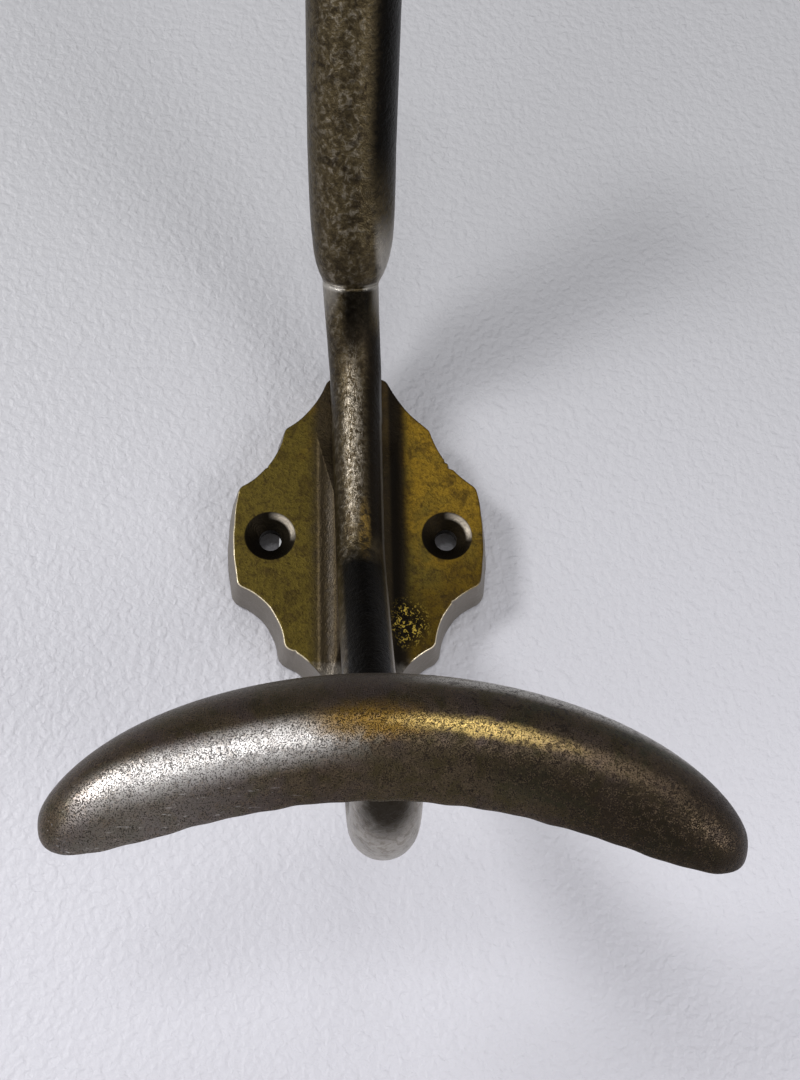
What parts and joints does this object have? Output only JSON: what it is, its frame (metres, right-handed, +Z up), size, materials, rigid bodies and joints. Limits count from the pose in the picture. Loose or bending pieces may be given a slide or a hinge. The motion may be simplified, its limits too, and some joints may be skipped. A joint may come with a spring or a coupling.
{
  "type": "coat and hat hook",
  "caption": "One-piece cast wall hook: scalloped back plate with countersunk screw holes, thick hat arm above and a curved coat arm ending in a wide crescent rest below.",
  "frame": {"origin": "on the wall plane, midway between the two screw holes", "axes": "+Z up the wall, -Y straight out from the wall along the screws, +X to the right seen from the front"},
  "size_m": [0.0887, 0.0777, 0.1612],
  "materials": {
    "brass": "satin"
  },
  "bodies": {
    "root": {"hook": "brass"}
  },
  "joints": []
}
